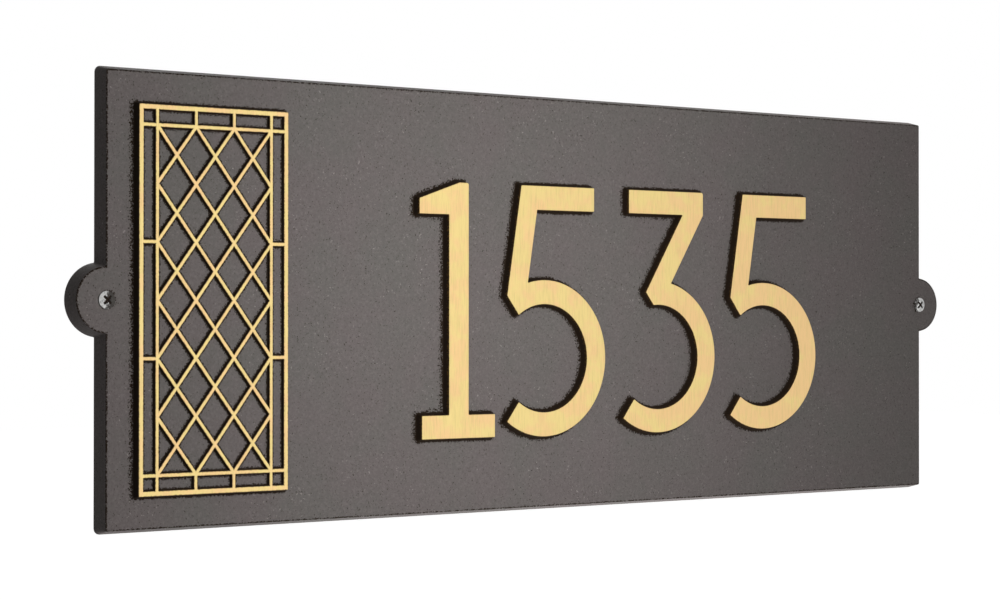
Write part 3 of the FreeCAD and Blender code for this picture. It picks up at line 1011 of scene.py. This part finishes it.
def screw_finish(colours):
    """Bright plated steel with fine turning marks, with painted shade in the recess and on the side of
    the head that faces the number.
    """
    material = bpy.data.materials.new("plated_steel")
    nodes = Nodes(material)
    turning = nodes.noise(nodes.place(TURNED), *TURNING)
    stain = nodes.noise(nodes.place(), *STAIN)
    # Painted shade on one side of the head, standing in for a dark reflection, frayed by the stains.
    shaded_side = (nodes.painted("shaded_side") + SHADED_SIDE_SWAY * (stain - 0.5)).share(*SIDE_SHADED)
    dark = shaded_side.at_least(nodes.painted("shade_and_dark_paint"))
    steel = nodes.mix(stain.share(*STAINED), colours.steel, times(STAIN_LIGHTNESS, colours.steel))
    nodes.surface({
        "Base Color": nodes.mix(dark, steel, colours.recess),
        "Metallic": 1.0 - dark,
        "Roughness": STEEL_ROUGHNESS + STAIN_ROUGHNESS * stain + DARK_ROUGHNESS * dark,
        "Specular IOR Level": STEEL_SHEEN,
        "Normal": nodes.bump(TURNING_HEIGHT * turning)})
    return material


def seen_directly(nodes):
    """One for the rays that show the background: camera, glossy and transmission; else nought."""
    camera, glossy, transmitted = (nodes.add("ShaderNodeLightPath", output=name) for name in
                                   ("Is Camera Ray", "Is Glossy Ray", "Is Transmission Ray"))
    return camera.at_least(glossy).at_least(transmitted)


def floor_finish(colours):
    """A pale floor that shows white, and keeps the shadow of what stands over it."""
    material = bpy.data.materials.new("pale_floor")
    nodes = Nodes(material)
    nodes.surface({
        "Base Color": solid(colours.floor), "Roughness": 1.0, "Specular IOR Level": 0.0,
        "Emission Color": nodes.mix(seen_directly(nodes), BLACK, WHITE),
        "Emission Strength": FLOOR_GLOW})
    return material


def stage_floor(colours):
    """A pale floor well below the plaque: a grid of x and y over a square."""
    along = np.linspace(-FLOOR_HALF, FLOOR_HALF, FLOOR_LINES)
    x, y = np.meshgrid(along, along, indexing="ij")
    points = np.stack([x, y, np.full(x.shape, FLOOR_Z)], axis=-1).reshape(-1, 3)
    numbers = np.arange(x.size).reshape(x.shape)
    quads = np.stack([numbers[:-1, :-1], numbers[1:, :-1], numbers[1:, 1:], numbers[:-1, 1:]], axis=-1)
    mesh = bpy.data.meshes.new("floor")
    mesh.from_pydata(points, [], quads.reshape(-1, 4).tolist())
    return finished(mesh, "floor", floor_finish(colours))


def stage_world():
    """A white surround that lights the plaque softly."""
    world = bpy.data.worlds.new("studio")
    bpy.context.scene.world = world
    nodes = Nodes(world)
    strength = WORLD_FILL + (1.0 - WORLD_FILL) * seen_directly(nodes)
    shader = nodes.add("ShaderNodeBackground", {}, {"Color": solid(WHITE), "Strength": strength})
    nodes.add("ShaderNodeOutputWorld", {}, {"Surface": shader})


def soft_lamp(lamp):
    """An area lamp at its place, turned to its target."""
    light = bpy.data.lights.new(lamp.name, "AREA")
    light.shape = "RECTANGLE"
    light.size, light.size_y = lamp.size
    light.energy = lamp.watts
    made = bpy.data.objects.new(lamp.name, light)
    turn = (Vector(lamp.target) - Vector(lamp.place)).to_track_quat("-Z", "Y")
    made.matrix_world = Matrix.Translation(lamp.place) @ turn.to_matrix().to_4x4()
    made.visible_camera = False
    made.visible_glossy = lamp.mirrored
    bpy.context.scene.collection.objects.link(made)


def stage_camera():
    """The camera at the viewing angle: its axes turned by the yaw, the pitch and then the roll."""
    yaw, pitch, roll = CAMERA_TURN
    ahead = np.array([math.sin(yaw) * math.cos(pitch), math.cos(yaw) * math.cos(pitch),
                      math.sin(pitch)])
    level = np.array([math.cos(yaw), -math.sin(yaw), 0.0])
    upright = np.cross(level, ahead)
    right = level * math.cos(roll) + upright * math.sin(roll)
    up = upright * math.cos(roll) - level * math.sin(roll)
    lens = bpy.data.cameras.new("camera")
    lens.lens = CAMERA_LENS
    lens.sensor_width = CAMERA_SENSOR
    lens.clip_start = CAMERA_NEAR
    lens.clip_end = CAMERA_FAR
    camera = bpy.data.objects.new("camera", lens)
    turned = np.eye(4)
    turned[:3, :3] = np.column_stack([right, up, -ahead])
    turned[:3, 3] = CAMERA_PLACE
    camera.matrix_world = Matrix(turned.tolist())
    bpy.context.scene.collection.objects.link(camera)
    bpy.context.scene.camera = camera


class PLAQUE_OT_casting(bpy.types.Operator):
    """Make the plate, its numerals and its panel as one casting"""

    bl_idname = "plaque.casting"
    bl_label = "Casting"

    def execute(self, context):
        scene = context.scene
        material = casting_finish(scene.plaque_colours)
        casting = cast_plaque(scene.plaque_plate, scene.plaque_numerals, scene.plaque_panel, material)
        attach(casting, "root")
        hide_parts("plaque_casting")
        return {"FINISHED"}


class PLAQUE_OT_screws(bpy.types.Operator):
    """Make the screw through each ear"""

    bl_idname = "plaque.screws"
    bl_label = "Wall Screws"

    def execute(self, context):
        scene = context.scene
        material = screw_finish(scene.plaque_colours)
        for name, side, shaded_side in WALL_SCREWS:
            screw = wall_screw(name, scene.plaque_screws, scene.plaque_plate, side, shaded_side, material)
            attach(screw, "root")
            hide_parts("wall_screws")
        return {"FINISHED"}


class PLAQUE_OT_stage(bpy.types.Operator):
    """Make the floor, the surround, the lamps and the camera"""

    bl_idname = "plaque.stage"
    bl_label = "Stage"

    def execute(self, context):
        stage_floor(context.scene.plaque_colours)
        stage_world()
        for lamp in LAMPS:
            soft_lamp(lamp)
        stage_camera()
        context.scene.view_settings.view_transform = "Standard"
        return {"FINISHED"}


class PLAQUE_PT_sidebar(bpy.types.Panel):
    """Buttons and sizes of the plaque"""

    bl_idname = "PLAQUE_PT_sidebar"
    bl_label = "House Number Plaque"
    bl_space_type = "VIEW_3D"
    bl_region_type = "UI"
    bl_category = "Plaque"

    def draw(self, context):
        for operator in OPERATORS:
            self.layout.operator(operator.bl_idname)
        for name, group in GROUPS.items():
            box = self.layout.box()
            box.label(text=group.__doc__)
            for key in group.__annotations__:
                box.prop(getattr(context.scene, name), key)


GROUPS = {"plaque_plate": PlateSizes, "plaque_numerals": NumeralSizes, "plaque_panel": PanelSizes,
          "plaque_screws": ScrewSizes, "plaque_colours": FinishColours}
OPERATORS = (PLAQUE_OT_casting, PLAQUE_OT_screws, PLAQUE_OT_stage)


def register():
    for group in GROUPS.values():
        bpy.utils.register_class(group)
    for name, group in GROUPS.items():
        setattr(bpy.types.Scene, name, PointerProperty(type=group))
    for made in (*OPERATORS, PLAQUE_PT_sidebar):
        bpy.utils.register_class(made)


def unregister():
    for made in (PLAQUE_PT_sidebar, *reversed(OPERATORS)):
        bpy.utils.unregister_class(made)
    for name in GROUPS:
        delattr(bpy.types.Scene, name)
    for group in reversed(GROUPS.values()):
        bpy.utils.unregister_class(group)


def corners(box):
    """The lowest and highest corner of a box as plain lists."""
    return [list(corner) for corner in box]


def main():
    register()
    bpy.ops.plaque.casting()
    bpy.ops.plaque.screws()
    bpy.ops.plaque.stage()


if __name__ == "__main__":
    main()
